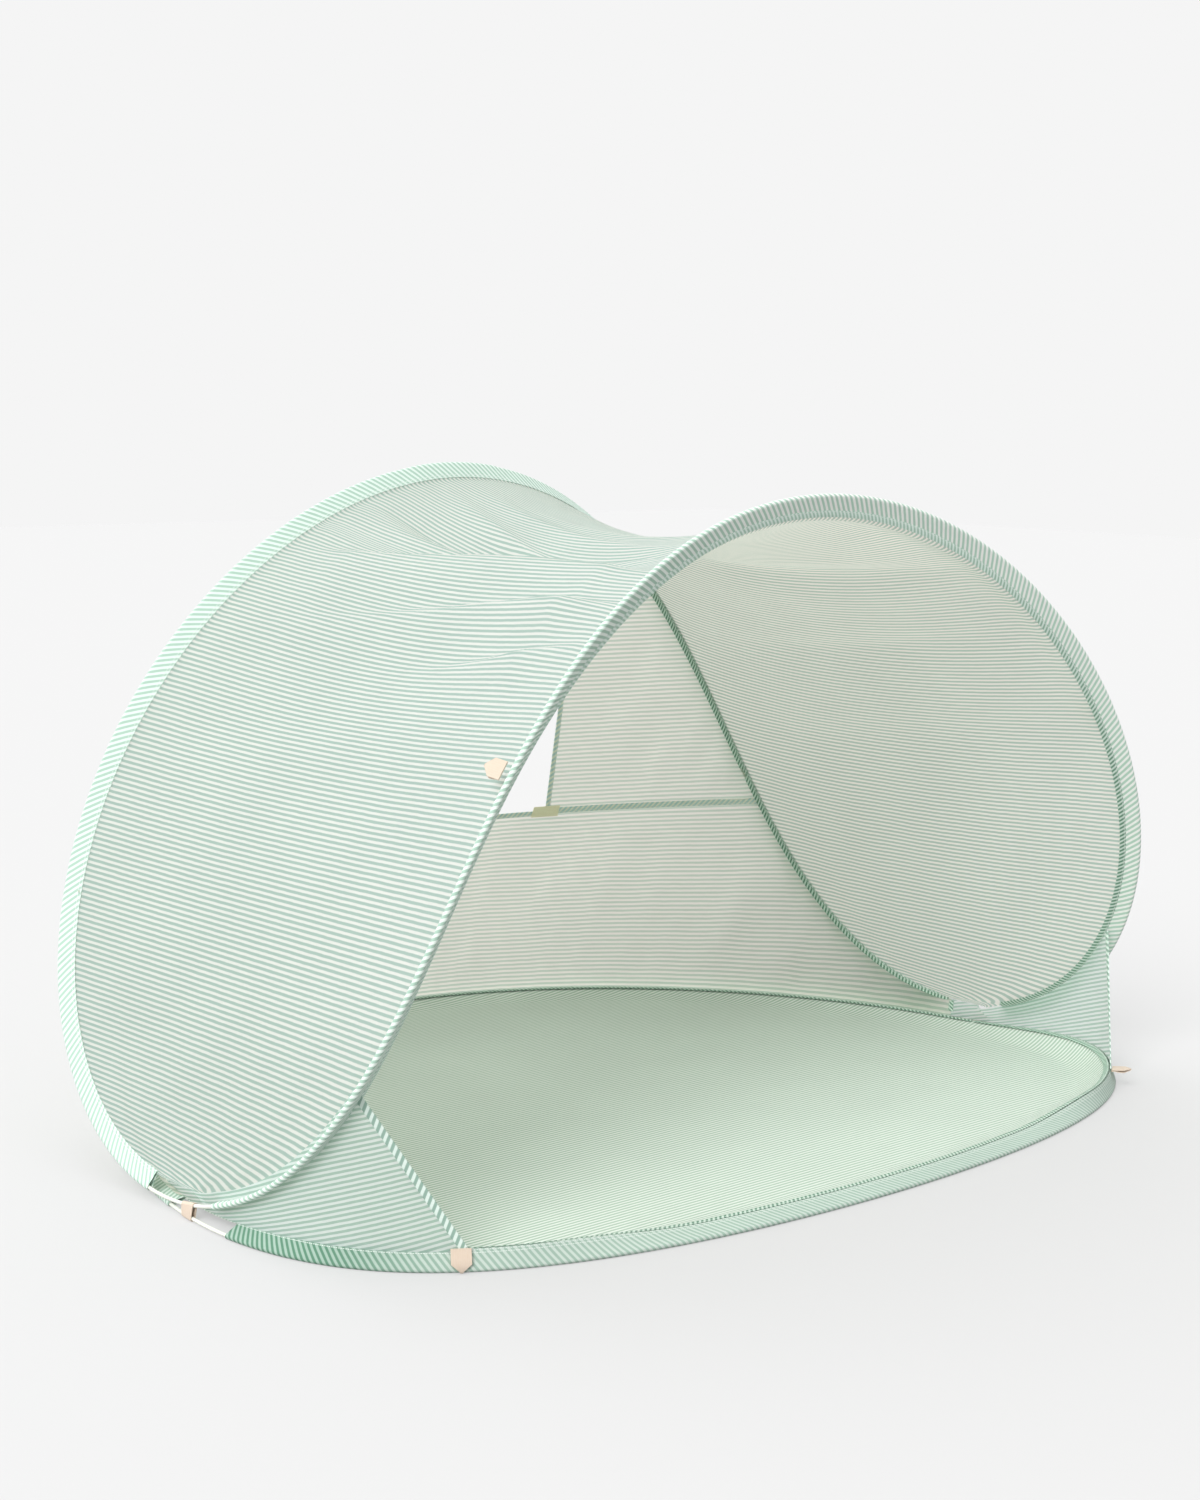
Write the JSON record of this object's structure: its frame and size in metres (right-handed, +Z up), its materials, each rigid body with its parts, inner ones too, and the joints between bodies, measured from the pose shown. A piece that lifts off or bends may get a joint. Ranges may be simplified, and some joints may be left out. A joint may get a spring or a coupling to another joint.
{
  "type": "beach tent",
  "caption": "Low open-fronted beach tent: a striped cloth canopy slung between two sprung arches over an oval floor, with a rear wall and window opening.",
  "frame": {"origin": "on the ground under the floor sheet, midway between the two corners where the hoops meet", "axes": "+X to the right corner, -Y out of the front opening, +Z up; the corners lie on the X axis"},
  "size_m": [1.578, 1.2464, 0.9257],
  "materials": {
    "canopy_cloth": "striped woven cloth, matt",
    "wall_cloth": "striped woven cloth, matt",
    "floor_cloth": "striped woven cloth, matt",
    "sleeve_cloth": "striped woven cloth cut on the bias, matt",
    "binding_tape": "striped bias tape, matt",
    "peach_webbing": "woven webbing, matt",
    "khaki_webbing": "woven webbing, matt",
    "rod": "smooth, slightly glossy",
    "ferrule_metal": "drawn tube, satin"
  },
  "bodies": {
    "base": {"canopy_hoop_rear_left": "rod", "canopy_hoop_rear_right": "rod", "floor_hoop_rear_left": "rod", "floor_hoop_rear_right": "rod", "canopy_hoop_ferrule": "ferrule_metal", "floor_hoop_ferrule": "ferrule_metal", "canopy_panel": "canopy_cloth", "floor_panel": "floor_cloth", "rear_wall_lower": "wall_cloth", "rear_wall_upper": "wall_cloth", "side_wall_left": "wall_cloth", "side_wall_right": "wall_cloth", "rear_arch_sleeve": "sleeve_cloth", "floor_rear_sleeve": "sleeve_cloth", "rear_arch_binding": "binding_tape", "floor_rear_binding": "binding_tape", "side_seam_left": "binding_tape", "side_seam_right": "binding_tape", "window_side_binding_left": "binding_tape", "window_side_binding_right": "binding_tape", "window_top_binding": "binding_tape", "window_sill_hem": "binding_tape", "cross_seam_left": "binding_tape", "cross_seam_right": "binding_tape", "corner_tie_left": "peach_webbing", "corner_tie_right": "peach_webbing", "window_corner_tab_left": "khaki_webbing", "window_corner_tab_right": "khaki_webbing"},
    "front": {"canopy_hoop_front": "rod", "floor_hoop_front": "rod", "front_arch_sleeve": "sleeve_cloth", "floor_front_sleeve": "sleeve_cloth", "front_arch_binding": "binding_tape", "floor_front_binding": "binding_tape", "side_wall_front_binding_left": "binding_tape", "side_wall_front_binding_right": "binding_tape"},
    "peg_loop_left": {"peg_loop_left": "peach_webbing"},
    "peg_loop_right": {"peg_loop_right": "peach_webbing"},
    "hoop_tab_left": {"hoop_tab_left": "peach_webbing"},
    "hoop_tab_right": {"hoop_tab_right": "peach_webbing"}
  },
  "joints": [
    {"name": "front_fold", "type": "hinge", "parent": "base", "child": "front", "pos_m": [0, 0, 0.0183], "axis": [-1, 0, 0], "range_deg": [0, 40], "stiffness_Nm_per_rad": 1, "deforming": ["canopy_panel", "floor_panel", "side_wall_left", "side_wall_right", "corner_tie_left", "corner_tie_right", "rear_arch_binding"]},
    {"name": "peg_loop_left_turn", "type": "hinge", "parent": "front", "child": "peg_loop_left", "pos_m": [-0.62782, -0.37308, 0.02828], "axis": [-0.8445, 0.5356, 0], "range_deg": [0, 100]},
    {"name": "peg_loop_right_turn", "type": "hinge", "parent": "front", "child": "peg_loop_right", "pos_m": [0.62782, -0.37308, 0.02828], "axis": [-0.8445, -0.5356, 0], "range_deg": [-70, 25]},
    {"name": "hoop_tab_left_turn", "type": "hinge", "parent": "front", "child": "hoop_tab_left", "pos_m": [-0.57354, -0.35247, 0.59273], "axis": [0.5772, 0.0214, 0.8164], "range_deg": [-20, 100]},
    {"name": "hoop_tab_right_turn", "type": "hinge", "parent": "front", "child": "hoop_tab_right", "pos_m": [0.57354, -0.35247, 0.59273], "axis": [0.5772, -0.0214, -0.8164], "range_deg": [-20, 100]}
  ]
}
